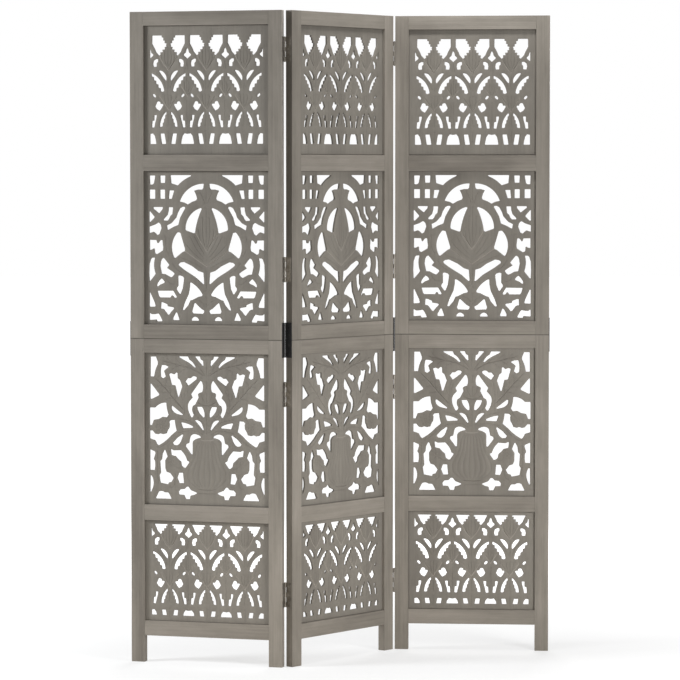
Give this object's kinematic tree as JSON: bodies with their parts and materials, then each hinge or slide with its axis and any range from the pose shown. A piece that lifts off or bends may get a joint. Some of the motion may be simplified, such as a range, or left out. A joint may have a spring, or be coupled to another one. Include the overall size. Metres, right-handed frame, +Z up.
{
  "type": "carved folding screen",
  "caption": "Free-standing folding room screen: hinged wooden leaves with pierced floral fretwork panels in plain frames, each leaf joined at mid height by iron plates.",
  "frame": {"origin": "on the floor, at the middle of the half-open screen's floor area", "axes": "+Z up; +X to the right across the view; +Y away from the viewer, who faces the front of the leaves"},
  "size_m": [1.0772, 0.3354, 1.65],
  "materials": {
    "frame_wood": "matt grey wash over close grain",
    "carved_wood": "matt grey wash on carved board",
    "black_iron": "black paint, satin",
    "hinge_steel": "dull zinc plate",
    "screw_steel": "dull zinc plate"
  },
  "bodies": {
    "middle_leaf": {"left_fold_pins": "hinge_steel", "middle_base_fretwork": "carved_wood", "middle_crest_fretwork": "carved_wood", "middle_foot_rail": "frame_wood", "middle_hinge_screws": "screw_steel", "middle_joining_plates": "black_iron", "middle_joining_screws": "black_iron", "middle_left_hinge_plates": "hinge_steel", "middle_lower_cross_rail": "frame_wood", "middle_lower_left_stile": "frame_wood", "middle_lower_right_stile": "frame_wood", "middle_lower_seam_rail": "frame_wood", "middle_medallion_fretwork": "carved_wood", "middle_right_hinge_plates": "hinge_steel", "middle_top_rail": "frame_wood", "middle_upper_cross_rail": "frame_wood", "middle_upper_left_stile": "frame_wood", "middle_upper_right_stile": "frame_wood", "middle_upper_seam_rail": "frame_wood", "middle_vase_fretwork": "carved_wood", "right_fold_pins": "hinge_steel"},
    "left_leaf": {"left_base_fretwork": "carved_wood", "left_crest_fretwork": "carved_wood", "left_foot_rail": "frame_wood", "left_hinge_plates": "hinge_steel", "left_hinge_screws": "screw_steel", "left_joining_plates": "black_iron", "left_joining_screws": "black_iron", "left_lower_cross_rail": "frame_wood", "left_lower_left_stile": "frame_wood", "left_lower_right_stile": "frame_wood", "left_lower_seam_rail": "frame_wood", "left_medallion_fretwork": "carved_wood", "left_top_rail": "frame_wood", "left_upper_cross_rail": "frame_wood", "left_upper_left_stile": "frame_wood", "left_upper_right_stile": "frame_wood", "left_upper_seam_rail": "frame_wood", "left_vase_fretwork": "carved_wood"},
    "right_leaf": {"right_base_fretwork": "carved_wood", "right_crest_fretwork": "carved_wood", "right_foot_rail": "frame_wood", "right_hinge_plates": "hinge_steel", "right_hinge_screws": "screw_steel", "right_joining_plates": "black_iron", "right_joining_screws": "black_iron", "right_lower_cross_rail": "frame_wood", "right_lower_left_stile": "frame_wood", "right_lower_right_stile": "frame_wood", "right_lower_seam_rail": "frame_wood", "right_medallion_fretwork": "carved_wood", "right_top_rail": "frame_wood", "right_upper_cross_rail": "frame_wood", "right_upper_left_stile": "frame_wood", "right_upper_right_stile": "frame_wood", "right_upper_seam_rail": "frame_wood", "right_vase_fretwork": "carved_wood"}
  },
  "joints": [
    {"name": "left_fold", "type": "hinge", "parent": "middle_leaf", "child": "left_leaf", "pos_m": [-0.14424, -0.14693, 0], "axis": [0, 0, 1], "range_deg": [-114.7, 65.3]},
    {"name": "right_fold", "type": "hinge", "parent": "middle_leaf", "child": "right_leaf", "pos_m": [0.13488, 0.14587, 0], "axis": [0, 0, 1], "range_deg": [-125.3, 54.7]}
  ]
}
